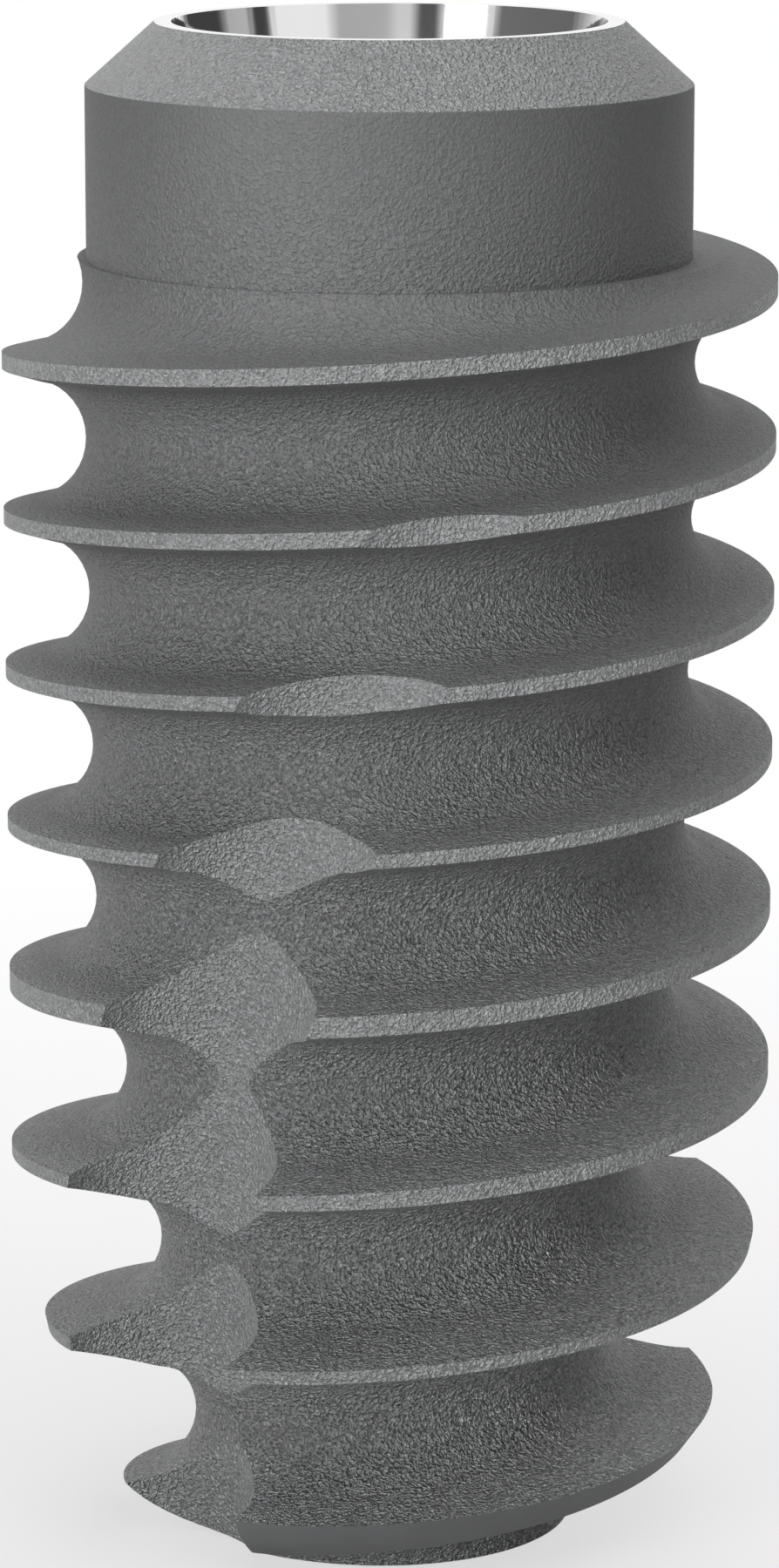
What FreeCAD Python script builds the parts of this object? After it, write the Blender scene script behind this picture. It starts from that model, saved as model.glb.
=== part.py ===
import FreeCAD, Part
import math
import os

# A threaded dental implant, machined from one bar of titanium.
# Lengths are millimetres and angles are degrees. The origin is the centre of the flat apex,
# the axis is +Z, and the platform that carries the abutment is at the top.
# The front is -Y, and turns of the thread are counted downwards from there.

# Body
thread_diameter = 5.0
body_length = 9.96
collar_diameter = 3.902
shoulder_height = 8.45
bevel_height = 0.40
rim_diameter = 3.01

# Apex: the thread's envelope tapers, turns in steeply and rounds over to the flat end
taper_height = 2.40
taper_angle = 12.0
nose_height = 0.834
nose_angle = 35.0
apex_round_radius = 1.0

# Bone thread: a single start, right hand groove that turns to a longer pitch near the apex
first_groove_height = 7.532
body_pitch = 1.011
pitch_change_turn = 3.388
apical_pitch = 1.152
apical_pitch_growth = 0.0198
neck_core_diameter = 3.934
core_taper_per_turn = 0.0256
apical_core_taper_per_turn = 0.4402
crest_width = 0.070
root_arc_half_angle = 84.0
upward_flank_angle = 14.0
downward_flank_angle = 16.7

# Cutting flutes, which a round cutter sweeps from the apex up across the thread
flute_count = 2
cutter_radius = 0.708
flute_radius_at_apex = 1.925
flute_lean = 0.165
flute_azimuth_at_apex = -55.5
flute_twist = 6.39
flute_twist_change = -0.196
flute_twist_growth = 0.0837

# Abutment connection inside the neck
seat_mouth_diameter = 2.79
seat_half_angle = 11.0
seat_depth = 0.95
hex_across_flats = 2.10
hex_depth = 1.25
screw_bore_diameter = 1.60
screw_bore_depth = 3.0
drill_point_angle = 118.0

# Clearance of cutting tools outside the material, and how finely the helix is followed
tool_clearance = 0.06
end_clearance = 0.60
points_per_turn = 12
flute_path_points = 13

FRONT = 270.0
Z_AXIS = FreeCAD.Vector(0, 0, 1)

thread_radius = thread_diameter / 2
collar_radius = collar_diameter / 2
rim_radius = rim_diameter / 2
mouth_radius = seat_mouth_diameter / 2
bore_radius = screw_bore_diameter / 2
seat_floor_height = body_length - seat_depth
hex_floor_height = seat_floor_height - hex_depth
bore_floor_height = hex_floor_height - screw_bore_depth


def slope(angle):
    """Run across for each unit along, at an angle in degrees."""
    return math.tan(math.radians(angle))


def polar(radius, azimuth, height):
    """Point at a radius and height, with its azimuth in degrees from +X."""
    angle = math.radians(azimuth)
    return FreeCAD.Vector(radius * math.cos(angle), radius * math.sin(angle), height)


def revolved(outline):
    """Solid of revolution about the axis, from the (radius, height) corners of a half section."""
    corners = [FreeCAD.Vector(radius, 0, height) for radius, height in outline]
    wire = Part.makePolygon(corners + corners[:1])
    return Part.Face(wire).revolve(FreeCAD.Vector(0, 0, 0), Z_AXIS, 360)


# Blank

def envelope_radius(height):
    """Radius of the blank that the thread is cut from; past either end it stays as it is there."""
    taper = max(taper_height - max(height, nose_height), 0)
    nose = max(nose_height - max(height, 0), 0)
    return thread_radius - taper * slope(taper_angle) - nose * slope(nose_angle)


def turned_blank():
    """The turned blank: apex cones, thread cylinder, flat shoulder, collar, bevel and rim. The edge
    between the nose cone and the flat apex is rounded."""
    blank = revolved([
        (0, 0),
        (envelope_radius(0), 0),
        (envelope_radius(nose_height), nose_height),
        (thread_radius, taper_height),
        (thread_radius, shoulder_height),
        (collar_radius, shoulder_height),
        (collar_radius, body_length - bevel_height),
        (rim_radius, body_length),
        (0, body_length),
    ])
    apex_edges = [edge for edge in blank.Edges if edge.Closed and abs(edge.BoundBox.ZMax) < 1e-6]
    return blank.makeFillet(apex_round_radius, apex_edges)


# Bone thread

def groove_azimuth(turn):
    """Azimuth of the groove's section, in a right hand helix that goes down."""
    return FRONT - 360 * turn


def groove_height(turn):
    """Height of the middle of the groove."""
    past_change = max(turn - pitch_change_turn, 0)
    body_drop = body_pitch * min(turn, pitch_change_turn)
    apical_drop = apical_pitch * past_change + apical_pitch_growth * past_change ** 2 / 2
    return first_groove_height - body_drop - apical_drop


def core_radius(turn):
    """Radius of the groove's root, which is the core of the thread."""
    past_change = max(turn - pitch_change_turn, 0)
    body_taper = core_taper_per_turn * min(turn, pitch_change_turn)
    return (neck_core_diameter - body_taper - apical_core_taper_per_turn * past_change) / 2


def turn_at_height(height):
    """Turn at which the groove's middle reaches a height, by halving the range of turns."""
    above, below = -4.0, 16.0
    while below - above > 1e-6:
        middle = (above + below) / 2
        if groove_height(middle) > height:
            above = middle
        else:
            below = middle
    return above


def root_arc_radius():
    """Radius of the groove's round root: the widest that leaves every crest its width."""
    half_angle = math.radians(root_arc_half_angle)
    up_slope = slope(upward_flank_angle)
    down_slope = slope(downward_flank_angle)
    spread = 2 * math.sin(half_angle) - (1 - math.cos(half_angle)) * (up_slope + down_slope)
    first_turn = turn_at_height(shoulder_height)
    last_turn = turn_at_height(nose_height)
    rooms = []
    steps = math.ceil((last_turn - first_turn) * points_per_turn)
    for step in range(steps):
        turn = first_turn + step / points_per_turn
        crest_radius = envelope_radius((groove_height(turn) + groove_height(turn + 1)) / 2)
        flanks = (crest_radius - core_radius(turn)) * up_slope
        flanks += (crest_radius - core_radius(turn + 1)) * down_slope
        pitch = groove_height(turn) - groove_height(turn + 1)
        rooms.append((pitch - crest_width - flanks) / spread)
    return min(rooms)


def rail(turns, section_point):
    """Curve that one point of the groove's section follows, where section_point gives its
    radius and height at a turn."""
    points = []
    for turn in turns:
        radius, height = section_point(turn)
        points.append(polar(radius, groove_azimuth(turn), height))
    curve = Part.BSplineCurve()
    curve.interpolate(Points=points, Parameters=turns)
    return curve


def strip(rails, weights, degree):
    """Surface whose section has one pole on each rail: lines of degree 1, or arcs of degree 2."""
    first = rails[0]
    poles = [list(row) for row in zip(*[curve.getPoles() for curve in rails])]
    spans = (len(rails) - 1) // degree
    surface = Part.BSplineSurface()
    surface.buildFromPolesMultsKnots(
        poles,
        first.getMultiplicities(),
        [degree + 1] + [degree] * (spans - 1) + [degree + 1],
        first.getKnots(),
        [float(knot) for knot in range(spans + 1)],
        False,
        False,
        first.Degree,
        degree,
        [weights] * len(poles),
    )
    return surface


def groove_cutter():
    """Solid that the helical groove takes out of the blank. It starts over the shoulder and ends
    under the apex, so that the groove runs out of the material at both ends."""
    arc = root_arc_radius()
    quarter = math.radians(root_arc_half_angle / 2)
    crease_rise = arc * (1 - math.cos(2 * quarter))
    crease_half_width = arc * math.sin(2 * quarter)

    def root_point(steps):
        """Pole of the round root, in half angles of the arc from its deepest point."""
        reach = arc if steps % 2 == 0 else arc / math.cos(quarter)
        rise = arc - reach * math.cos(steps * quarter)
        across = reach * math.sin(steps * quarter)
        return lambda turn: (core_radius(turn) + rise, groove_height(turn) + across)

    def flank_end(side, flank_slope):
        """Point where a flank leaves the blank, with the tool's clearance; side is +1 on top."""
        def section_point(turn):
            radius = core_radius(turn) + crease_rise
            height = groove_height(turn) + side * crease_half_width
            # A few rounds are enough, because the envelope leans less than the flank
            run = 0
            for _ in range(12):
                end_height = height + side * run * flank_slope
                run = envelope_radius(end_height) + tool_clearance - radius
            return radius + run, height + side * run * flank_slope
        return section_point

    half_opening = crease_half_width + (thread_radius - core_radius(0)) * slope(downward_flank_angle)
    first_turn = turn_at_height(shoulder_height + half_opening + end_clearance / 2)
    last_turn = turn_at_height(-half_opening - end_clearance / 2)
    count = math.ceil((last_turn - first_turn) * points_per_turn)
    turns = [first_turn + (last_turn - first_turn) * step / count for step in range(count + 1)]

    root_rails = [rail(turns, root_point(steps)) for steps in (-2, -1, 0, 1, 2)]
    lower_rail = rail(turns, flank_end(-1, slope(upward_flank_angle)))
    middle_rail = rail(turns, lambda turn: (envelope_radius(groove_height(turn)) + arc, groove_height(turn)))
    upper_rail = rail(turns, flank_end(1, slope(downward_flank_angle)))
    bend = math.cos(quarter)
    surfaces = [
        strip(root_rails, [1, bend, 1, bend, 1], 2),
        strip([lower_rail, root_rails[0]], [1, 1], 1),
        strip([root_rails[-1], upper_rail], [1, 1], 1),
        strip([upper_rail, middle_rail, lower_rail], [1, 1, 1], 1),
    ]
    # One face for each turn, because a long helical face doesn't cut cleanly
    stops = turns[::points_per_turn]
    stops[-1] = turns[-1]
    faces = []
    for surface in surfaces:
        _, _, section_start, section_end = surface.bounds()
        for start, end in zip(stops, stops[1:]):
            piece = surface.copy()
            piece.segment(start, end, section_start, section_end)
            faces.append(piece.toShape())
    for end in (turns[0], turns[-1]):
        edges = [surface.uIso(end).toShape() for surface in surfaces]
        faces.append(Part.Face(Part.Wire(Part.__sortEdges__(edges))))
    return closed_solid(faces)


def closed_solid(faces):
    """Solid inside a closed set of faces that meet edge to edge."""
    skin = Part.Compound(faces)
    skin.sewShape()
    solid = Part.Solid(skin.Shells[0])
    if solid.Volume < 0:
        solid.reverse()
    return solid


# Flutes

def flute_radius(height):
    """Distance of the cutter's middle from the axis."""
    return flute_radius_at_apex + flute_lean * height


def flute_azimuth(height):
    """Azimuth of the cutter's middle for the first flute: it curls round faster as it climbs."""
    turned = flute_twist * height + flute_twist_change * height ** 2 + flute_twist_growth * height ** 3
    return FRONT + flute_azimuth_at_apex + turned


def flute_cutter():
    """Round cutter swept along a curve, from under the apex to where it has left the thread."""
    runout_radius = thread_radius + cutter_radius + tool_clearance / 2
    runout_height = (runout_radius - flute_radius_at_apex) / flute_lean
    step = (runout_height + end_clearance) / (flute_path_points - 1)
    heights = [step * index - end_clearance for index in range(flute_path_points)]
    points = [polar(flute_radius(height), flute_azimuth(height), height) for height in heights]
    path = Part.BSplineCurve()
    path.interpolate(Points=points)
    start_direction = path.tangent(path.FirstParameter)[0]
    # The circle starts on its outer side, which keeps the sweep's seam clear of the thread
    outward = polar(1, flute_azimuth(heights[0]), 0)
    facing = FreeCAD.Rotation(outward, FreeCAD.Vector(0, 0, 0), start_direction, "ZXY")
    circle = Part.makeCircle(cutter_radius)
    circle.Placement = FreeCAD.Placement(points[0], facing)
    sweep = Part.BRepOffsetAPI.MakePipeShell(Part.Wire(path.toShape()))
    sweep.add(Part.Wire(circle))
    sweep.build()
    sweep.makeSolid()
    return sweep.shape()


# Abutment connection

def connection_cutter():
    """Conical seat, hex socket and screw bore with its drill point, all on the axis."""
    seat_floor_radius = mouth_radius - seat_depth * slope(seat_half_angle)
    seat = revolved([
        (0, seat_floor_height),
        (seat_floor_radius, seat_floor_height),
        (mouth_radius, body_length),
        (0, body_length),
    ])
    corner_radius = hex_across_flats / 2 / math.cos(math.radians(30))
    corners = [polar(corner_radius, 60 * index, hex_floor_height) for index in range(7)]
    hexagon = Part.Face(Part.makePolygon(corners))
    socket = hexagon.extrude(Z_AXIS * (hex_depth + seat_depth / 4))
    socket = socket.common(revolved([
        (0, hex_floor_height),
        (mouth_radius - (body_length - hex_floor_height) * slope(seat_half_angle), hex_floor_height),
        (mouth_radius, body_length),
        (0, body_length),
    ]).fuse(Part.makeCylinder(corner_radius, hex_depth, polar(0, 0, hex_floor_height))))
    drill_point = bore_radius / slope(drill_point_angle / 2)
    bore = revolved([
        (0, bore_floor_height - drill_point),
        (bore_radius, bore_floor_height),
        (bore_radius, hex_floor_height + hex_depth / 4),
        (0, hex_floor_height + hex_depth / 4),
    ])
    return seat.fuse([socket, bore])


def implant_body():
    """The whole implant as one solid."""
    body = turned_blank().cut(groove_cutter())
    flute = flute_cutter()
    flutes = []
    for index in range(flute_count):
        copy = flute.copy()
        copy.rotate(FreeCAD.Vector(0, 0, 0), Z_AXIS, 360 * index / flute_count)
        flutes.append(copy)
    body = body.cut(flutes)
    return body.cut(connection_cutter())


os.makedirs("parts", exist_ok=True)
body = implant_body()
print("implant_body", body.ShapeType, len(body.Solids), "solids", body.isValid(), round(body.Volume, 4))
body.Solids[0].exportStep("parts/implant_body.step")
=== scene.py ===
"""Looks of a threaded dental implant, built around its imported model.

The implant is one piece of titanium, turned, threaded, fluted and bored from a bar, so one finer
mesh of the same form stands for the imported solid. A node tree makes it as it is made in the shop:
a turned blank, less the groove between the threads, the cutting flutes and the abutment's
connection. Lengths of the implant's own classes are millimetres and angles are degrees, as on its
drawing, and the tree's last steps bring the mesh to metres. Everything else is in metres.
"""

from __future__ import annotations

import logging
import math
from dataclasses import dataclass, field, fields
from enum import IntEnum
from types import SimpleNamespace
from typing import Callable, Union

import bpy
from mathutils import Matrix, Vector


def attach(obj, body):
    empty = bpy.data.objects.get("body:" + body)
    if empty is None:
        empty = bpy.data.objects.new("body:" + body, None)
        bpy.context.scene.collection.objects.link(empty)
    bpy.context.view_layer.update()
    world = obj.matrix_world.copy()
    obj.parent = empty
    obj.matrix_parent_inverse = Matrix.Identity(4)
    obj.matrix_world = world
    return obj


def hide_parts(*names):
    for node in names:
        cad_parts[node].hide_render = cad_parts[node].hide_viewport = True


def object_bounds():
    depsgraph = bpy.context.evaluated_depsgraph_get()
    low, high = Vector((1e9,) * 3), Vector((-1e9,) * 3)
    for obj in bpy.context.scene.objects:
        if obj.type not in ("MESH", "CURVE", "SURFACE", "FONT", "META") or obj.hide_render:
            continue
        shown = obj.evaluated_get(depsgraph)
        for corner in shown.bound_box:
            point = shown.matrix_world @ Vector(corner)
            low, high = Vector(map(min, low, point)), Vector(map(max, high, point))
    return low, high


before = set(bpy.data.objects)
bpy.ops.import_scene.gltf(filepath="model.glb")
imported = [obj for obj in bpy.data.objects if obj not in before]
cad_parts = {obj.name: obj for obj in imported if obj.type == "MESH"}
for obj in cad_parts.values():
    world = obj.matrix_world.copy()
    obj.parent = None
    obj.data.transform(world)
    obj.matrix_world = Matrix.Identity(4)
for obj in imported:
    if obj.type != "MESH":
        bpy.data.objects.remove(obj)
cad_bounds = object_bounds()

log = logging.getLogger("implant")

MILLIMETRE = 0.001
FRONT = 270.0
WELD_DISTANCE = 1e-5
HEIGHT_TOLERANCE = 0.005
BODY_LENGTH = 9.96
NOISE_MIDDLE = 0.5

Colour = tuple[float, float, float]
Corner = tuple["Number", "Number"]


class Wire:
    """A node's output socket that can stand in arithmetic. Each operation adds its own node."""

    def __init__(self, graph: Graph, socket: bpy.types.NodeSocket) -> None:
        """Wraps a socket of a graph."""
        self.graph = graph
        self.socket = socket

    @property
    def is_vector(self) -> bool:
        """Whether the socket carries a vector."""
        return self.socket.type == "VECTOR"

    def __add__(self, other: Number) -> Wire:
        """Sum of the wire and another value."""
        return self.graph.arithmetic("ADD", self, other)

    def __radd__(self, other: Number) -> Wire:
        """Sum of another value and the wire."""
        return self.graph.arithmetic("ADD", other, self)

    def __sub__(self, other: Number) -> Wire:
        """The wire less another value."""
        return self.graph.arithmetic("SUBTRACT", self, other)

    def __rsub__(self, other: Number) -> Wire:
        """Another value less the wire."""
        return self.graph.arithmetic("SUBTRACT", other, self)

    def __mul__(self, other: Number) -> Wire:
        """Product of the wire and another value."""
        return self.graph.arithmetic("MULTIPLY", self, other)

    def __rmul__(self, other: Number) -> Wire:
        """Product of another value and the wire."""
        return self.graph.arithmetic("MULTIPLY", other, self)

    def __truediv__(self, other: Number) -> Wire:
        """The wire divided by another value."""
        return self.graph.arithmetic("DIVIDE", self, other)

    def __rtruediv__(self, other: Number) -> Wire:
        """Another value divided by the wire."""
        return self.graph.arithmetic("DIVIDE", other, self)

    def __gt__(self, other: Number) -> Wire:
        """One where the wire is over another value, else nought."""
        return self.graph.arithmetic("GREATER_THAN", self, other)

    def __lt__(self, other: Number) -> Wire:
        """One where the wire is under another value, else nought."""
        return self.graph.arithmetic("LESS_THAN", self, other)


Number = Union[Wire, float, int]
Value = Union[Wire, float, int, str, tuple, list, bpy.types.ID]


class Graph:
    """A node tree under construction, for a shader or for geometry."""

    def __init__(self, tree: bpy.types.NodeTree) -> None:
        """Starts from an empty tree.

        Args:
            tree: The tree that gets the nodes.
        """
        self.tree = tree
        self.tree.nodes.clear()

    def node(self, kind: str, sockets: dict[Union[str, int], Value], output: Union[str, int] = 0,
             **settings: Value) -> Wire:
        """Adds a node, with its settings first and then its sockets.

        Args:
            kind: The node's type.
            sockets: A value, a wire or a list of wires for each input, by its name or its number.
            output: Name or number of the output that is returned.
            settings: The node's own properties, with `stops` for a ramp's (place, grey) pairs and
                `items` for the number of a switch's items.

        Returns:
            The output, ready for arithmetic.
        """
        node = self.tree.nodes.new(kind)
        for name, value in settings.items():
            if name == "stops":
                self._set_stops(node.color_ramp, value)
            elif name == "items":
                for _ in range(value - len(node.index_switch_items)):
                    node.index_switch_items.new()
            else:
                setattr(node, name, value)
        for key, value in sockets.items():
            self._feed(self._find(node.inputs, key), value)
        return Wire(self, self._find(node.outputs, output))

    def end(self, kind: str, result: Wire) -> None:
        """Sends a result to the tree's output, which is a node of its own type."""
        last = self.tree.nodes.new(kind)
        self.tree.links.new(result.socket, last.inputs[0])

    def arithmetic(self, operation: str, *values: Number) -> Wire:
        """Adds a Math node, or a Vector Math node where one of the values is a vector.

        Args:
            operation: The node's operation.
            values: Its operands, wires or numbers.

        Returns:
            The result.
        """
        is_vector = any(isinstance(value, Wire) and value.is_vector for value in values)
        kind = "ShaderNodeVectorMath" if is_vector else "ShaderNodeMath"
        return self.node(kind, dict(enumerate(values)), operation=operation)

    def larger(self, first: Number, second: Number) -> Wire:
        """The larger of two values."""
        return self.arithmetic("MAXIMUM", first, second)

    def smaller(self, first: Number, second: Number) -> Wire:
        """The smaller of two values."""
        return self.arithmetic("MINIMUM", first, second)

    @staticmethod
    def _set_stops(ramp: bpy.types.ColorRamp, stops: list[tuple[float, float]]) -> None:
        """Gives a ramp its stops, each a place and a grey."""
        while len(ramp.elements) < len(stops):
            ramp.elements.new(1.0)
        for element, (place, grey) in zip(ramp.elements, stops):
            element.position = place
            element.color = (grey, grey, grey, 1.0)

    @staticmethod
    def _find(sockets: bpy.types.bpy_prop_collection, key: Union[str, int]) -> bpy.types.NodeSocket:
        """The socket in use that has a name or a number."""
        in_use = [socket for socket in sockets if socket.enabled]
        if isinstance(key, int):
            return in_use[key]
        return next(socket for socket in in_use if socket.name == key)

    def _feed(self, socket: bpy.types.NodeSocket, value: Value) -> None:
        """Links a wire or several to an input, or sets its own value."""
        if isinstance(value, list):
            for wire in value:
                self.tree.links.new(wire.socket, socket)
        elif isinstance(value, Wire):
            self.tree.links.new(value.socket, socket)
        elif socket.type == "VECTOR" and isinstance(value, (int, float)):
            socket.default_value = (value, value, value)
        elif socket.type == "RGBA" and len(value) == 3:
            socket.default_value = (*value, 1.0)
        else:
            socket.default_value = value


class ShaderGraph(Graph):
    """The tree of a material or of the world."""

    def __init__(self, owner: Union[bpy.types.Material, bpy.types.World]) -> None:
        """Starts an empty tree in a material or a world."""
        owner.use_nodes = True
        super().__init__(owner.node_tree)

    def object_millimetres(self) -> Wire:
        """Place on the object, in millimetres."""
        place = self.node("ShaderNodeTexCoord", {}, "Object")
        return place * (1.0 / MILLIMETRE)

    def noise(self, place: Wire, size: float, detail: float = 2.0, roughness: float = 0.5,
              distortion: float = 0.0) -> Wire:
        """Smooth noise about a half.

        Args:
            place: Where it is read.
            size: Width of its features, in the place's unit.
            detail: Number of finer layers.
            roughness: Strength of the finer layers.
            distortion: How far the pattern is pulled about.

        Returns:
            The noise.
        """
        return self.node("ShaderNodeTexNoise", {
            "Vector": place,
            "Scale": 1.0 / size,
            "Detail": detail,
            "Roughness": roughness,
            "Distortion": distortion,
        }, 0)

    def mix_colour(self, factor: Number, first: Union[Wire, Colour], second: Union[Wire, Colour]) -> Wire:
        """Blend of two colours by a factor."""
        return self.node("ShaderNodeMix", {"Factor": factor, "A": first, "B": second}, "Result",
                         data_type="RGBA")

    def ramp(self, factor: Wire, stops: list[tuple[float, float]]) -> Wire:
        """Grey that a factor gives on a ramp of (place, grey) stops."""
        return self.node("ShaderNodeValToRGB", {"Fac": factor}, "Color", stops=stops)

    def light_path(self, ray: str) -> Wire:
        """One for a kind of ray, else nought."""
        return self.node("ShaderNodeLightPath", {}, ray)


class GeometryGraph(Graph):
    """A tree of geometry nodes with named inputs."""

    def __init__(self, name: str) -> None:
        """Starts an empty tree that gives a mesh.

        Args:
            name: The tree's name.
        """
        super().__init__(bpy.data.node_groups.new(name, "GeometryNodeTree"))
        self.group_input = self.tree.nodes.new("NodeGroupInput")
        self.tree.interface.new_socket("Geometry", in_out="OUTPUT", socket_type="NodeSocketGeometry")
        self.values: dict[str, float] = {}

    def named_input(self, name: str, value: Union[float, int]) -> Wire:
        """Adds a named input with its value.

        Args:
            name: The input's name.
            value: What the modifier gives it; a whole number makes a whole number's input.

        Returns:
            The input, ready for arithmetic.
        """
        kind = "NodeSocketInt" if isinstance(value, int) else "NodeSocketFloat"
        item = self.tree.interface.new_socket(name, in_out="INPUT", socket_type=kind)
        self.values[item.identifier] = value
        socket = next(s for s in self.group_input.outputs if s.identifier == item.identifier)
        return Wire(self, socket)

    def sizes_of(self, sub_assembly: object) -> SimpleNamespace:
        """Adds a named input for each size of a sub-assembly, under the size's own name."""
        inputs = {}
        for size in fields(sub_assembly):
            name = size.name.replace("_", " ")
            inputs[size.name] = self.named_input(name, getattr(sub_assembly, size.name))
        return SimpleNamespace(**inputs)

    def index(self) -> Wire:
        """Number of the point or face."""
        return self.node("GeometryNodeInputIndex", {})

    def height(self) -> Wire:
        """Height of the point, edge or face."""
        position = self.node("GeometryNodeInputPosition", {})
        return self.node("ShaderNodeSeparateXYZ", {0: position}, "Z")

    def vector(self, x: Number, y: Number, z: Number) -> Wire:
        """Vector of three values."""
        return self.node("ShaderNodeCombineXYZ", {0: x, 1: y, 2: z})

    def polar(self, radius: Number, azimuth: Number, height: Number) -> Wire:
        """Point at a radius, an azimuth in degrees from +X, and a height."""
        angle = self.arithmetic("RADIANS", azimuth)
        across = self.arithmetic("COSINE", angle) * radius
        along = self.arithmetic("SINE", angle) * radius
        return self.vector(across, along, height)

    def slope(self, angle: Wire) -> Wire:
        """Run across for each unit along, at an angle in degrees."""
        return self.arithmetic("TANGENT", self.arithmetic("RADIANS", angle))

    def choose(self, place: Wire, options: list[Value], data_type: str = "FLOAT") -> Wire:
        """The option that has a number."""
        sockets = {"Index": place}
        sockets.update({str(number): option for number, option in enumerate(options)})
        return self.node("GeometryNodeIndexSwitch", sockets, items=len(options), data_type=data_type)

    def sheet_solid(self, columns: Number, rows: Number, place: Callable[[Wire, Wire], Wire]) -> Wire:
        """Closed solid that a grid of points makes once its seams and poles are welded.

        Args:
            columns: Number of columns of points.
            rows: Number of rows of points.
            place: Gives a point's position from its column and its row.

        Returns:
            The solid.
        """
        grid = self.node("GeometryNodeMeshGrid", {"Vertices X": columns, "Vertices Y": rows})
        column = self.arithmetic("FLOOR", self.index() / rows)
        row = self.index() - column * rows
        moved = self.node("GeometryNodeSetPosition", {"Geometry": grid, "Position": place(column, row)})
        return self.node("GeometryNodeMergeByDistance", {"Geometry": moved, "Distance": WELD_DISTANCE})

    def turned_solid(self, corners: list[Corner], rounds: dict[int, Number], segments: Number,
                     round_steps: Number) -> Wire:
        """Solid of revolution about the axis.

        Args:
            corners: The half section's (radius, height) corners, from the axis to the axis.
            rounds: Radius of the round at a corner, by the corner's number.
            segments: Number of steps round the axis.
            round_steps: Number of steps in a round.

        Returns:
            The solid.
        """
        line = self.node("GeometryNodeCurvePrimitiveLine", {})
        points = self.node("GeometryNodeResampleCurve", {"Curve": line, "Count": len(corners)})
        places = [self.vector(radius, 0.0, height) for radius, height in corners]
        outline = self.node("GeometryNodeSetPosition", {
            "Geometry": points,
            "Position": self.choose(self.index(), places, "VECTOR"),
        })
        radii = [rounds.get(number, 0.0) for number in range(len(corners))]
        rounded = self.node("GeometryNodeFilletCurve", {
            "Curve": outline,
            "Radius": self.choose(self.index(), radii),
            "Count": round_steps,
        }, mode="POLY")
        count = self.node("GeometryNodeAttributeDomainSize", {0: rounded}, "Point Count", component="CURVE")

        def place(column: Wire, row: Wire) -> Wire:
            """Point of the outline, turned round the axis."""
            sample = self.node("GeometryNodeSampleIndex", {
                "Geometry": rounded,
                "Value": self.node("GeometryNodeInputPosition", {}),
                "Index": row,
            }, data_type="FLOAT_VECTOR", domain="POINT")
            radius = self.node("ShaderNodeSeparateXYZ", {0: sample}, "X")
            height = self.node("ShaderNodeSeparateXYZ", {0: sample}, "Z")
            # The last column falls on the first, and is welded to it
            azimuth = self.arithmetic("MODULO", column, segments) * 360.0 / segments
            return self.polar(radius, azimuth, height)

        return self.sheet_solid(segments + 1, count, place)

    def helical_solid(self, first_turn: Number, last_turn: Number, steps_per_turn: Number, rows: int,
                      section: Callable[[Wire, Wire], tuple[Wire, Wire]],
                      middle: Callable[[Wire], tuple[Wire, Wire]]) -> Wire:
        """Solid that a closed section sweeps out in a right hand helix going down.

        Args:
            first_turn: Turn at which it starts, counted from the front.
            last_turn: Turn at which it ends.
            steps_per_turn: Number of steps in a turn.
            rows: Number of points round the section.
            section: Gives a section point's radius and height, from its turn and its row.
            middle: Gives the radius and height of the section's middle, where the ends close.

        Returns:
            The solid.
        """
        steps = self.arithmetic("ROUND", (last_turn - first_turn) * steps_per_turn)

        def place(column: Wire, row: Wire) -> Wire:
            """Point of the section at its turn; the first and the last column close the ends."""
            step = self.smaller(self.larger(column - 1.0, 0.0), steps)
            turn = first_turn + step * (last_turn - first_turn) / steps
            radius, height = section(turn, self.arithmetic("MODULO", row, rows))
            middle_radius, middle_height = middle(turn)
            is_end = (column < 0.5) + (column > steps + 1.5)
            radius = radius + (middle_radius - radius) * is_end
            height = height + (middle_height - height) * is_end
            return self.polar(radius, FRONT - 360.0 * turn, height)

        # One column more than there are steps, and one at each end to close it
        return self.sheet_solid(steps + 3.0, rows + 1, place)

    def less(self, solid: Wire, tool: Wire) -> Wire:
        """A solid with a cutting tool's shape taken out of it."""
        return self.node("GeometryNodeMeshBoolean", {"Mesh 1": solid, "Mesh 2": [tool]}, "Mesh",
                         operation="DIFFERENCE", solver="MANIFOLD")

    def label(self, geometry: Wire, name: str, value: Value) -> Wire:
        """A mesh whose faces keep a whole number under a name."""
        return self.node("GeometryNodeStoreNamedAttribute", {
            "Geometry": geometry,
            "Name": name,
            "Value": value,
        }, data_type="INT", domain="FACE")

    def mesh(self, name: str) -> bpy.types.Object:
        """Evaluates the tree and returns its result as a plain mesh object.

        Args:
            name: The object's name.

        Returns:
            The object, linked to the scene, with no modifier left on it.
        """
        piece = bpy.data.objects.new(name, bpy.data.meshes.new(name))
        bpy.context.scene.collection.objects.link(piece)
        modifier = piece.modifiers.new(name, "NODES")
        modifier.node_group = self.tree
        for identifier, value in self.values.items():
            modifier[identifier] = value
        evaluated = piece.evaluated_get(bpy.context.evaluated_depsgraph_get())
        made = bpy.data.meshes.new_from_object(evaluated)
        piece.modifiers.remove(modifier)
        # The unlabelled meshes that the tree started from leave an empty slot in front
        if made.materials[0] is None:
            made.materials.pop(index=0)
        piece.data = made
        return piece


class Surface(IntEnum):
    """How a face of the implant was finished; the last kind gets a paler colour with painted light."""

    BLASTED = 0
    MACHINED = 1
    POLISHED = 2
    EXPOSED = 3


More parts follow.
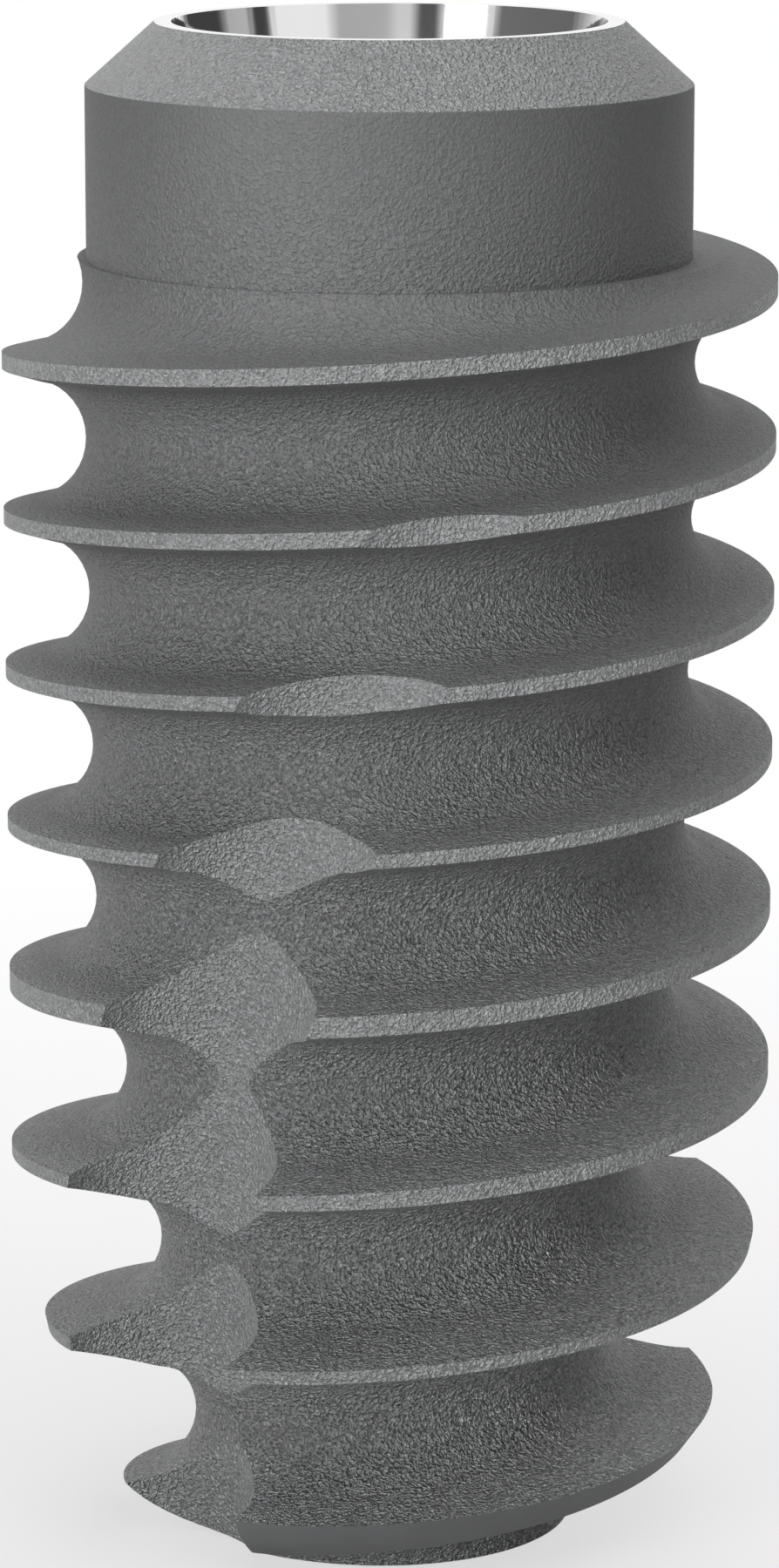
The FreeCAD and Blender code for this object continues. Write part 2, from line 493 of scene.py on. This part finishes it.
@dataclass(frozen=True)
class BlastedTitanium:
    """Titanium, blasted and etched to a matt, finely wrinkled grey.

    Painted light scales its colour evenly from the apex to the rim, and its gloss and the depth of its
    wrinkles change evenly there too.
    """

    name: str = "blasted_titanium"
    colour: Colour = (0.188, 0.190, 0.193)
    colour_spread: float = 0.08
    # Painted light: the colour's scale at the apex and at the rim, lighter low down and darker on the collar
    apex_shade: float = 1.30
    rim_shade: float = 0.58
    # Painted shade: the colour darkens in the wrinkles' hollows and lightens on their ridges
    cavity_shade: float = 1.2
    metallic: float = 0.4
    apex_roughness: float = 0.42
    rim_roughness: float = 0.66
    roughness_spread: float = 0.10
    wrinkle_size: float = 0.023
    wrinkle_detail: float = 1.0
    wrinkle_fineness: float = 0.4
    wrinkle_distortion: float = 0.6
    wrinkle_depth: float = 0.045
    apex_depth_share: float = 2.6
    rim_depth_share: float = 0.12
    pit_size: float = 0.012
    pit_detail: float = 1.0
    pit_share: float = 0.2
    patch_size: float = 1.4

    @staticmethod
    def between(rise: Wire, at_apex: float, at_rim: float) -> Wire:
        """Value at a share of the way from the apex to the rim."""
        return rise * (at_rim - at_apex) + at_apex

    def material(self) -> bpy.types.Material:
        """Builds the material.

        Returns:
            The material.
        """
        material = bpy.data.materials.new(self.name)
        graph = ShaderGraph(material)
        place = graph.object_millimetres()
        wrinkles = graph.noise(place, self.wrinkle_size, self.wrinkle_detail, self.wrinkle_fineness,
                               self.wrinkle_distortion)
        pits = graph.noise(place, self.pit_size, self.pit_detail)
        patches = graph.noise(place, self.patch_size)
        relief = wrinkles * (1.0 - self.pit_share) + pits * self.pit_share
        rise = graph.node("ShaderNodeSeparateXYZ", {0: place}, "Z") / BODY_LENGTH
        depth = self.between(rise, self.apex_depth_share, self.rim_depth_share)
        # Painted light, from the apex's scale to the rim's
        painted_light = self.between(rise, self.apex_shade, self.rim_shade)
        roughness = self.between(rise, self.apex_roughness, self.rim_roughness)
        dark = tuple(part * (1.0 - self.colour_spread) for part in self.colour)
        light = tuple(part * (1.0 + self.colour_spread) for part in self.colour)
        shader = graph.node("ShaderNodeBsdfPrincipled", {
            # The colour carries the painted light, and painted shade in the wrinkles' hollows
            "Base Color": graph.node("ShaderNodeVectorMath", {
                0: graph.mix_colour(patches, dark, light),
                # Painted shade in the wrinkles' hollows, painted light on their ridges
                "Scale": painted_light + (relief - NOISE_MIDDLE) * depth * self.cavity_shade,
            }, operation="SCALE"),
            "Metallic": self.metallic,
            "Roughness": roughness + (pits - NOISE_MIDDLE) * self.roughness_spread,
            "Normal": graph.node("ShaderNodeBump", {
                "Strength": 1.0,
                "Distance": self.wrinkle_depth * MILLIMETRE,
                "Height": relief * depth,
            }),
        })
        graph.end("ShaderNodeOutputMaterial", shader)
        return material


@dataclass(frozen=True)
class ExposedTitanium(BlastedTitanium):
    """Blasted titanium of the crests, the bevel and the flutes, paler than the grooves: the crests are a
    paler grey, and on the flutes and the bevel the paler colour is painted light where they face the lamps.
    """

    name: str = "pale_titanium_with_painted_light"
    colour: Colour = (0.215, 0.217, 0.220)
    # Painted light, strongest at the top, where the bevel faces up
    apex_shade: float = 1.25
    rim_shade: float = 1.50
    # Weaker painted shade in the wrinkles' hollows
    cavity_shade: float = 0.7
    apex_depth_share: float = 1.9
    rim_depth_share: float = 1.9


@dataclass(frozen=True)
class MachinedTitanium:
    """Titanium as the lathe leaves it: smooth, with fine rings round the axis."""

    name: str = "machined_titanium"
    colour: Colour = (0.150, 0.152, 0.155)
    dark_share: float = 0.92
    light_share: float = 1.08
    metallic: float = 0.5
    roughness: float = 0.5
    roughness_spread: float = 0.1
    cloud_size: float = 0.3
    ring_size: float = 0.02
    ring_depth: float = 0.0008

    def material(self) -> bpy.types.Material:
        """Builds the material.

        Returns:
            The material.
        """
        material = bpy.data.materials.new(self.name)
        graph = ShaderGraph(material)
        place = graph.object_millimetres()
        height = graph.node("ShaderNodeSeparateXYZ", {0: place}, "Z")
        rings = graph.noise(graph.node("ShaderNodeCombineXYZ", {2: height}), self.ring_size)
        clouds = graph.noise(place, self.cloud_size)
        dark = tuple(self.dark_share * part for part in self.colour)
        light = tuple(self.light_share * part for part in self.colour)
        shader = graph.node("ShaderNodeBsdfPrincipled", {
            "Base Color": graph.mix_colour(clouds, dark, light),
            "Metallic": self.metallic,
            "Roughness": self.roughness + (clouds - NOISE_MIDDLE) * self.roughness_spread,
            "Normal": graph.node("ShaderNodeBump", {
                "Strength": 1.0,
                "Distance": self.ring_depth * MILLIMETRE,
                "Height": rings,
            }),
        })
        graph.end("ShaderNodeOutputMaterial", shader)
        return material


@dataclass(frozen=True)
class PolishedTitanium(MachinedTitanium):
    """Bright titanium of the rim and the abutment's connection."""

    name: str = "polished_titanium"
    colour: Colour = (0.80, 0.80, 0.81)
    dark_share: float = 0.97
    light_share: float = 1.0
    metallic: float = 1.0
    roughness: float = 0.07
    roughness_spread: float = 0.04
    cloud_size: float = 0.2
    ring_size: float = 0.012
    ring_depth: float = 0.0001


@dataclass(frozen=True)
class TurnedBlank:
    """The blank as it leaves the lathe: apex cones, thread cylinder, flat shoulder, collar, bevel, rim."""

    thread_radius: float = 2.5
    body_length: float = BODY_LENGTH
    collar_radius: float = 1.951
    shoulder_height: float = 8.45
    bevel_height: float = 0.40
    rim_radius: float = 1.505
    taper_height: float = 2.40
    taper_angle: float = 12.0
    nose_height: float = 0.834
    nose_angle: float = 35.0
    apex_round_radius: float = 1.0
    collar_round_radius: float = 0.02
    turned_segments: int = 240
    round_steps: int = 10

    def envelope_radius(self, graph: GeometryGraph, sizes: SimpleNamespace, height: Number) -> Wire:
        """Radius of the blank under its shoulder; past the apex it stays as it is there.

        Args:
            graph: The tree that gets the nodes.
            sizes: The blank's named inputs.
            height: Height above the apex.

        Returns:
            The radius.
        """
        taper = graph.larger(sizes.taper_height - graph.larger(height, sizes.nose_height), 0.0)
        nose = graph.larger(sizes.nose_height - graph.larger(height, 0.0), 0.0)
        taper_drop = taper * graph.slope(sizes.taper_angle)
        return sizes.thread_radius - taper_drop - nose * graph.slope(sizes.nose_angle)

    def solid(self, graph: GeometryGraph, sizes: SimpleNamespace) -> Wire:
        """Turns the blank.

        Args:
            graph: The tree that gets the nodes.
            sizes: The blank's named inputs.

        Returns:
            The blank, with the finish of each face under its label; the crests and the bevel get the paler
            colour with painted light.
        """
        nose_radius = self.envelope_radius(graph, sizes, sizes.nose_height)
        collar_top = sizes.body_length - sizes.bevel_height
        corners = [
            (0.0, 0.0),
            (self.envelope_radius(graph, sizes, 0.0), 0.0),
            (nose_radius, sizes.nose_height),
            (sizes.thread_radius, sizes.taper_height),
            (sizes.thread_radius, sizes.shoulder_height),
            (sizes.collar_radius, sizes.shoulder_height),
            (sizes.collar_radius, collar_top),
            (sizes.rim_radius, sizes.body_length),
            (0.0, sizes.body_length),
        ]
        rounds = {1: sizes.apex_round_radius, 6: sizes.collar_round_radius}
        blank = graph.turned_solid(corners, rounds, sizes.turned_segments, sizes.round_steps)
        height = graph.height()
        is_machined = height < sizes.nose_height
        is_polished = height > sizes.body_length - HEIGHT_TOLERANCE
        is_crest = (height > sizes.nose_height) * (height < sizes.shoulder_height - HEIGHT_TOLERANCE)
        is_bevel = (height > collar_top) * (1.0 - is_polished)
        machined = is_machined * int(Surface.MACHINED)
        polished = is_polished * int(Surface.POLISHED)
        # The crests are a paler grey, and the bevel gets painted light
        pale_with_painted_light = (is_crest + is_bevel) * int(Surface.EXPOSED)
        return graph.label(blank, "surface", machined + polished + pale_with_painted_light)


@dataclass(frozen=True)
class BoneThread:
    """The single start, right hand groove whose crests are the bone thread."""

    first_groove_height: float = 7.532
    body_pitch: float = 1.011
    pitch_change_turn: float = 3.388
    apical_pitch: float = 1.152
    apical_pitch_growth: float = 0.0198
    neck_core_diameter: float = 3.934
    core_taper_per_turn: float = 0.0256
    apical_core_taper_per_turn: float = 0.4402
    root_arc_radius: float = 0.4093
    root_arc_half_angle: float = 84.0
    upward_flank_angle: float = 14.0
    downward_flank_angle: float = 16.7
    tool_clearance: float = 0.06
    first_turn: float = -1.75
    last_turn: float = 7.60
    steps_per_turn: int = 120

    ROOT_STEPS = 18
    FLANK_ROUNDS = 4

    def groove_cutter(self, graph: GeometryGraph, sizes: SimpleNamespace,
                      envelope: Callable[[Number], Wire]) -> Wire:
        """Solid that the groove takes out of the blank, from over the shoulder to under the apex.

        Args:
            graph: The tree that gets the nodes.
            sizes: The thread's named inputs.
            envelope: Gives the blank's radius at a height.

        Returns:
            The cutter.
        """
        half_angle = graph.arithmetic("RADIANS", sizes.root_arc_half_angle)
        crease_rise = sizes.root_arc_radius * (1.0 - graph.arithmetic("COSINE", half_angle))
        crease_half_width = sizes.root_arc_radius * graph.arithmetic("SINE", half_angle)

        def groove_middle(turn: Wire) -> tuple[Wire, Wire]:
            """Radius of the groove's root and height of its middle at a turn."""
            before_change = graph.smaller(turn, sizes.pitch_change_turn)
            past_change = graph.larger(turn - sizes.pitch_change_turn, 0.0)
            apical_drop = past_change * (sizes.apical_pitch + sizes.apical_pitch_growth * past_change / 2.0)
            height = sizes.first_groove_height - sizes.body_pitch * before_change - apical_drop
            body_taper = sizes.core_taper_per_turn * before_change
            diameter = sizes.neck_core_diameter - body_taper - sizes.apical_core_taper_per_turn * past_change
            return diameter / 2.0, height

        def flank_end(root_radius: Wire, middle_height: Wire, side: float, flank_angle: Wire) -> Wire:
            """Where a flank leaves the blank, as a vector of radius, nought and height."""
            flank_slope = graph.slope(flank_angle) * side
            radius = root_radius + crease_rise
            height = middle_height + side * crease_half_width
            run: Number = 0.0
            # A few rounds are enough, because the envelope leans less than the flank
            for _ in range(self.FLANK_ROUNDS):
                run = envelope(height + flank_slope * run) + sizes.tool_clearance - radius
            return graph.vector(radius + run, 0.0, height + flank_slope * run)

        def section(turn: Wire, row: Wire) -> tuple[Wire, Wire]:
            """Point of the groove's section: the round root, then the flanks' ends."""
            root_radius, middle_height = groove_middle(turn)
            angle = half_angle * (row * (2.0 / self.ROOT_STEPS) - 1.0)
            rise = sizes.root_arc_radius * (1.0 - graph.arithmetic("COSINE", angle))
            across = sizes.root_arc_radius * graph.arithmetic("SINE", angle)
            point = graph.choose(graph.larger(row - float(self.ROOT_STEPS), 0.0), [
                graph.vector(root_radius + rise, 0.0, middle_height + across),
                flank_end(root_radius, middle_height, 1.0, sizes.downward_flank_angle),
                graph.vector(envelope(middle_height) + sizes.root_arc_radius, 0.0, middle_height),
                flank_end(root_radius, middle_height, -1.0, sizes.upward_flank_angle),
            ], "VECTOR")
            return (graph.node("ShaderNodeSeparateXYZ", {0: point}, "X"),
                    graph.node("ShaderNodeSeparateXYZ", {0: point}, "Z"))

        def middle(turn: Wire) -> tuple[Wire, Wire]:
            """Centre of the round root, which sees the whole section."""
            root_radius, middle_height = groove_middle(turn)
            return root_radius + sizes.root_arc_radius, middle_height

        cutter = graph.helical_solid(sizes.first_turn, sizes.last_turn, sizes.steps_per_turn,
                                     self.ROOT_STEPS + 4, section, middle)
        return graph.label(cutter, "surface", int(Surface.BLASTED))


@dataclass(frozen=True)
class CuttingFlutes:
    """The flutes that a round cutter sweeps from the apex up across the thread."""

    flute_count: int = 2
    cutter_radius: float = 0.708
    flute_radius_at_apex: float = 1.925
    flute_lean: float = 0.165
    flute_azimuth_at_apex: float = -55.5
    flute_twist: float = 6.39
    flute_twist_change: float = -0.196
    flute_twist_growth: float = 0.0837
    path_end_clearance: float = 0.60
    path_points: int = 100
    cutter_segments: int = 72

    def cutters(self, graph: GeometryGraph, sizes: SimpleNamespace, thread_radius: Wire) -> Wire:
        """Sweeps the round cutter along its path, once for each flute.

        Args:
            graph: The tree that gets the nodes.
            sizes: The flutes' named inputs.
            thread_radius: Outer radius of the thread, where the cutter runs out.

        Returns:
            The cutters.
        """
        line = graph.node("GeometryNodeCurvePrimitiveLine", {})
        points = graph.node("GeometryNodeResampleCurve", {"Curve": line, "Count": sizes.path_points})
        runout_radius = thread_radius + sizes.cutter_radius
        runout_height = (runout_radius - sizes.flute_radius_at_apex) / sizes.flute_lean
        length = runout_height + sizes.path_end_clearance * 2.0
        height = length * graph.index() / (sizes.path_points - 1.0) - sizes.path_end_clearance
        curl = sizes.flute_twist + height * (sizes.flute_twist_change + height * sizes.flute_twist_growth)
        path = graph.node("GeometryNodeSetPosition", {
            "Geometry": points,
            "Position": graph.polar(
                sizes.flute_radius_at_apex + sizes.flute_lean * height,
                FRONT + sizes.flute_azimuth_at_apex + height * curl,
                height,
            ),
        })
        cutter = graph.node("GeometryNodeCurveToMesh", {
            "Curve": path,
            "Profile Curve": graph.node("GeometryNodeCurvePrimitiveCircle", {
                "Resolution": sizes.cutter_segments,
                "Radius": sizes.cutter_radius,
            }, "Curve"),
            "Fill Caps": True,
        })
        stations = graph.node("GeometryNodeMeshLine", {"Count": sizes.flute_count, "Offset": (0.0, 0.0, 0.0)})
        turn = graph.index() * math.tau / sizes.flute_count
        spread = graph.node("GeometryNodeInstanceOnPoints", {
            "Points": stations,
            "Instance": cutter,
            "Rotation": graph.vector(0.0, 0.0, turn),
        })
        flutes = graph.node("GeometryNodeRealizeInstances", {"Geometry": spread})
        # Painted light: the flutes get the paler colour, where they face the key lamp
        return graph.label(flutes, "surface", int(Surface.EXPOSED))


@dataclass(frozen=True)
class AbutmentConnection:
    """What the neck takes an abutment with: conical seat, hex socket and threaded screw bore."""

    seat_mouth_radius: float = 1.395
    seat_half_angle: float = 11.0
    seat_depth: float = 0.95
    hex_across_flats: float = 2.10
    hex_depth: float = 1.25
    screw_bore_radius: float = 0.80
    screw_bore_depth: float = 3.0
    drill_point_angle: float = 118.0
    cut_overlap: float = 0.02
    screw_thread_radius: float = 1.0
    screw_pitch: float = 0.4
    screw_thread_length: float = 2.6
    connection_segments: int = 144
    screw_steps_per_turn: int = 48

    HEX_SIDES = 6
    SCREW_THREAD_HALF_ANGLE = 30.0
    SCREW_CREST_SHARE = 0.125
    SCREW_SECTION_CORNERS = 4
    SCREW_FIRST_TURN = -0.5

    def tools(self, graph: GeometryGraph, sizes: SimpleNamespace, body_length: Wire) -> list[Wire]:
        """Cutting tools of the connection, one inside the next.

        Args:
            graph: The tree that gets the nodes.
            sizes: The connection's named inputs.
            body_length: Height of the rim.

        Returns:
            The tools: seat, hex socket, bore and screw thread.
        """
        seat_slope = graph.slope(sizes.seat_half_angle)
        seat_floor = body_length - sizes.seat_depth
        hex_floor = seat_floor - sizes.hex_depth
        overlap = sizes.cut_overlap
        seat = graph.turned_solid([
            (0.0, seat_floor),
            (sizes.seat_mouth_radius - sizes.seat_depth * seat_slope, seat_floor),
            (sizes.seat_mouth_radius + overlap * seat_slope, body_length + overlap),
            (0.0, body_length + overlap),
        ], {}, sizes.connection_segments, 1)
        hexagon = graph.node("GeometryNodeMeshCylinder", {
            "Vertices": self.HEX_SIDES,
            "Radius": sizes.hex_across_flats / 2.0 / math.cos(math.pi / self.HEX_SIDES),
            "Depth": sizes.hex_depth + overlap,
        }, "Mesh")
        socket = graph.node("GeometryNodeTransform", {
            "Geometry": hexagon,
            "Translation": graph.vector(0.0, 0.0, hex_floor + (sizes.hex_depth + overlap) / 2.0),
        })
        bore_floor = hex_floor - sizes.screw_bore_depth
        drill_point = sizes.screw_bore_radius / graph.slope(sizes.drill_point_angle / 2.0)
        bore = graph.turned_solid([
            (0.0, bore_floor - drill_point),
            (sizes.screw_bore_radius, bore_floor),
            (sizes.screw_bore_radius, hex_floor + overlap),
            (0.0, hex_floor + overlap),
        ], {}, sizes.connection_segments, 1)
        tools = [seat, socket, bore, self.screw_thread(graph, sizes, hex_floor)]
        return [graph.label(tool, "surface", int(Surface.POLISHED)) for tool in tools]

    def screw_thread(self, graph: GeometryGraph, sizes: SimpleNamespace, top: Wire) -> Wire:
        """The screw's thread in the bore, as the tap cuts it.

        Args:
            graph: The tree that gets the nodes.
            sizes: The connection's named inputs.
            top: Height of the bore's mouth.

        Returns:
            The tap's shape: a ridge with a narrow flat crest that winds down the bore.
        """
        inner_radius = sizes.screw_bore_radius - sizes.cut_overlap
        crest = sizes.screw_pitch * (self.SCREW_CREST_SHARE / 2.0)
        lean = math.tan(math.radians(self.SCREW_THREAD_HALF_ANGLE))
        foot = crest + (sizes.screw_thread_radius - inner_radius) * lean

        def section(turn: Wire, row: Wire) -> tuple[Wire, Wire]:
            """Corner of the ridge's section."""
            height = top - sizes.screw_pitch * turn
            radius = graph.choose(row, [inner_radius, inner_radius,
                                        sizes.screw_thread_radius, sizes.screw_thread_radius])
            across = graph.choose(row, [foot * -1.0, foot, crest, crest * -1.0])
            return radius, height + across

        def middle(turn: Wire) -> tuple[Wire, Wire]:
            """Middle of the ridge's section."""
            return (inner_radius + sizes.screw_thread_radius) / 2.0, top - sizes.screw_pitch * turn

        return graph.helical_solid(self.SCREW_FIRST_TURN, sizes.screw_thread_length / sizes.screw_pitch,
                                   sizes.screw_steps_per_turn, self.SCREW_SECTION_CORNERS, section, middle)


@dataclass
class ImplantBody:
    """The whole implant, which is one piece of titanium."""

    blank: TurnedBlank = field(default_factory=TurnedBlank)
    thread: BoneThread = field(default_factory=BoneThread)
    flutes: CuttingFlutes = field(default_factory=CuttingFlutes)
    connection: AbutmentConnection = field(default_factory=AbutmentConnection)
    crease_angle: float = 24.0

    def build(self) -> bpy.types.Object:
        """Makes the implant's mesh in a node tree.

        Returns:
            The piece, in metres, with its materials on it.
        """
        graph = GeometryGraph("implant_machining")
        blank_sizes = graph.sizes_of(self.blank)
        thread_sizes = graph.sizes_of(self.thread)
        flute_sizes = graph.sizes_of(self.flutes)
        connection_sizes = graph.sizes_of(self.connection)
        crease_angle = graph.named_input("crease angle", self.crease_angle)

        def envelope(height: Number) -> Wire:
            """Radius of the blank at a height."""
            return self.blank.envelope_radius(graph, blank_sizes, height)

        tools = [
            self.thread.groove_cutter(graph, thread_sizes, envelope),
            self.flutes.cutters(graph, flute_sizes, blank_sizes.thread_radius),
            *self.connection.tools(graph, connection_sizes, blank_sizes.body_length),
        ]
        body = self.blank.solid(graph, blank_sizes)
        for tool in tools:
            body = graph.less(body, tool)
        self.finish(graph, body, crease_angle)
        return graph.mesh("implant")

    def finish(self, graph: GeometryGraph, body: Wire, crease_angle: Wire) -> None:
        """Shades the mesh, brings it to metres and gives each face its material.

        Args:
            graph: The tree that gets the nodes.
            body: The machined body, in millimetres.
            crease_angle: Angle over which an edge stays sharp, in degrees.
        """
        body = graph.node("GeometryNodeSetShadeSmooth", {
            "Geometry": body,
            "Shade Smooth": True,
        }, domain="FACE")
        bend = graph.node("GeometryNodeInputMeshEdgeAngle", {}, "Unsigned Angle")
        body = graph.node("GeometryNodeSetShadeSmooth", {
            "Geometry": body,
            "Selection": bend > graph.arithmetic("RADIANS", crease_angle),
            "Shade Smooth": False,
        }, domain="EDGE")
        body = graph.node("GeometryNodeTransform", {
            "Geometry": body,
            "Scale": (MILLIMETRE, MILLIMETRE, MILLIMETRE),
        })
        body = graph.node("GeometryNodeRealizeInstances", {"Geometry": body})
        label = graph.node("GeometryNodeInputNamedAttribute", {"Name": "surface"}, "Attribute",
                           data_type="INT")
        materials_by_surface = {
            Surface.BLASTED: BlastedTitanium(),
            Surface.MACHINED: MachinedTitanium(),
            Surface.POLISHED: PolishedTitanium(),
            # Painted light on the flutes and the bevel, and a paler grey on the crests
            Surface.EXPOSED: ExposedTitanium(),
        }
        for surface, titanium in materials_by_surface.items():
            chosen = graph.node("FunctionNodeCompare", {"A": label, "B": int(surface)},
                                data_type="INT", operation="EQUAL")
            body = graph.node("GeometryNodeSetMaterial", {
                "Geometry": body,
                "Selection": chosen,
                "Material": titanium.material(),
            })
        graph.end("NodeGroupOutput", body)

    def place(self) -> bpy.types.Object:
        """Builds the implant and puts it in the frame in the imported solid's place.

        Returns:
            The piece.
        """
        piece = self.build()
        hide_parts("implant_body")
        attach(piece, "root")
        log.info("implant: %d faces, materials %s", len(piece.data.polygons),
                 ", ".join(material.name for material in piece.data.materials))
        return piece


@dataclass(frozen=True)
class Lamp:
    """A soft square lamp that faces the implant."""

    name: str
    azimuth: float
    elevation: float
    power: float
    width: float = 0.10
    distance: float = 0.20
    in_reflections: bool = True

    def hang(self) -> bpy.types.Object:
        """Hangs the lamp; its azimuth counts from the camera's side, to the right.

        Returns:
            The lamp.
        """
        data = bpy.data.lights.new(self.name, "AREA")
        data.shape = "SQUARE"
        data.size = self.width
        data.energy = self.power
        lamp = bpy.data.objects.new(self.name, data)
        middle = (cad_bounds[0] + cad_bounds[1]) / 2.0
        azimuth = math.radians(self.azimuth)
        elevation = math.radians(self.elevation)
        reach = self.distance * math.cos(elevation)
        lamp.location = (
            middle[0] + reach * math.sin(azimuth),
            middle[1] - reach * math.cos(azimuth),
            middle[2] + self.distance * math.sin(elevation),
        )
        lamp.rotation_euler = (middle - lamp.location).to_track_quat("-Z", "Y").to_euler()
        lamp.visible_glossy = self.in_reflections
        bpy.context.scene.collection.objects.link(lamp)
        log.info("%s: %.3f W", self.name, self.power)
        return lamp


@dataclass(frozen=True)
class Studio:
    """Floor, background, lamps and camera."""

    lamps: tuple[Lamp, ...] = (
        Lamp("key_lamp", -43.0, 8.0, 0.34, width=0.075),
        Lamp("fill_lamp", -9.0, 8.0, 0.09, width=0.04),
        Lamp("high_lamp", 30.0, 55.0, 0.10),
        Lamp("top_lamp", 0.0, 85.0, 0.15),
        Lamp("right_rim_lamp", 145.0, 18.0, 0.28, in_reflections=False),
        Lamp("left_rim_lamp", -150.0, 15.0, 0.18, in_reflections=False),
    )
    # Azimuth from the camera's side, to the right, and the brightness there
    soft_boxes: tuple[tuple[float, float], ...] = (
        (-150.0, 1.0), (-118.0, 0.16),
        (-64.0, 0.18), (-58.0, 0.75), (-32.0, 0.75),
        (-26.0, 0.10), (-17.0, 0.10),
        (-12.0, 0.70), (-4.0, 0.70), (2.0, 0.50), (28.0, 0.48), (36.0, 1.0), (66.0, 1.0),
        (72.0, 0.06), (79.0, 0.06), (85.0, 0.55), (98.0, 0.50),
        (106.0, 0.06), (138.0, 0.06), (150.0, 1.0),
    )
    floor_width: float = 0.6
    floor_clearance: float = 1e-6
    floor_colour: Colour = (0.60, 0.60, 0.60)
    shadow_share: float = 0.4
    shadow_reach: float = 0.02
    world_level: float = 0.06
    camera_distance: float = 0.03903
    camera_height: float = 0.01311
    camera_pitch: float = 11.77
    lens: float = 139.64
    sensor: float = 36.0
    nearest_seen: float = 0.001
    farthest_seen: float = 10.0

    def floor(self) -> bpy.types.Object:
        """Lays the pale floor that the implant stands on.

        Returns:
            The floor.
        """
        mesh = bpy.data.meshes.new("floor")
        half = self.floor_width / 2.0
        drop = -self.floor_clearance
        corners = [(-half, -half, drop), (half, -half, drop), (half, half, drop), (-half, half, drop)]
        mesh.from_pydata(corners, [], [(0, 1, 2, 3)])
        material = bpy.data.materials.new("pale_floor")
        graph = ShaderGraph(material)
        matt = graph.node("ShaderNodeBsdfDiffuse", {"Color": self.floor_colour})
        glow = graph.node("ShaderNodeEmission", {"Color": (1.0, 1.0, 1.0), "Strength": 1.0})
        place = graph.node("ShaderNodeTexCoord", {}, "Object")
        distance = graph.node("ShaderNodeVectorMath", {0: place}, "Value", operation="LENGTH")
        # The floor shows white to the camera, but for a share of the shadow close to the implant
        shadow = graph.larger(1.0 - distance / self.shadow_reach, 0.0) * self.shadow_share
        share = graph.light_path("Is Camera Ray") * (1.0 - shadow)
        shader = graph.node("ShaderNodeMixShader", {0: share, 1: matt, 2: glow})
        graph.end("ShaderNodeOutputMaterial", shader)
        mesh.materials.append(material)
        floor = bpy.data.objects.new("floor", mesh)
        bpy.context.scene.collection.objects.link(floor)
        log.info("floor: %.2f m wide", self.floor_width)
        return floor

    def background(self) -> None:
        """Fills the world with soft light, and shows it white to the camera and through glass.

        Metal sees the studio instead: soft boxes all round, with dark gaps between them.
        """
        world = bpy.data.worlds.new("studio")
        graph = ShaderGraph(world)
        direction = graph.node("ShaderNodeTexCoord", {}, "Generated")
        across = graph.node("ShaderNodeSeparateXYZ", {0: direction}, "X")
        along = graph.node("ShaderNodeSeparateXYZ", {0: direction}, "Y")
        turn = graph.arithmetic("ARCTAN2", across, along * -1.0) / math.tau + 0.5
        boxes = graph.ramp(turn, [(0.5 + azimuth / 360.0, grey) for azimuth, grey in self.soft_boxes])
        seen = graph.smaller(graph.light_path("Is Camera Ray") + graph.light_path("Is Transmission Ray"), 1.0)
        level = self.world_level + seen * (1.0 - self.world_level)
        level = level + graph.light_path("Is Glossy Ray") * (boxes - level)
        light = graph.node("ShaderNodeBackground", {"Color": (1.0, 1.0, 1.0), "Strength": level})
        graph.end("ShaderNodeOutputWorld", light)
        bpy.context.scene.world = world

    def camera(self) -> bpy.types.Object:
        """Sets up the photograph's camera.

        Returns:
            The camera.
        """
        data = bpy.data.cameras.new("camera")
        data.sensor_fit = "VERTICAL"
        data.sensor_height = self.sensor
        data.lens = self.lens
        data.clip_start = self.nearest_seen
        data.clip_end = self.farthest_seen
        camera = bpy.data.objects.new("camera", data)
        camera.location = (0.0, -self.camera_distance, self.camera_height)
        camera.rotation_euler = (math.radians(90.0 - self.camera_pitch), 0.0, 0.0)
        bpy.context.scene.collection.objects.link(camera)
        bpy.context.scene.camera = camera
        return camera

    def set_up(self) -> None:
        """Makes the whole studio."""
        bpy.context.scene.view_settings.view_transform = "Standard"
        self.floor()
        self.background()
        for lamp in self.lamps:
            lamp.hang()
        self.camera()


def main() -> None:
    """Builds the implant and the studio round it."""
    logging.basicConfig(level=logging.INFO, format="%(message)s")
    ImplantBody().place()
    Studio().set_up()


if __name__ == "__main__":
    main()
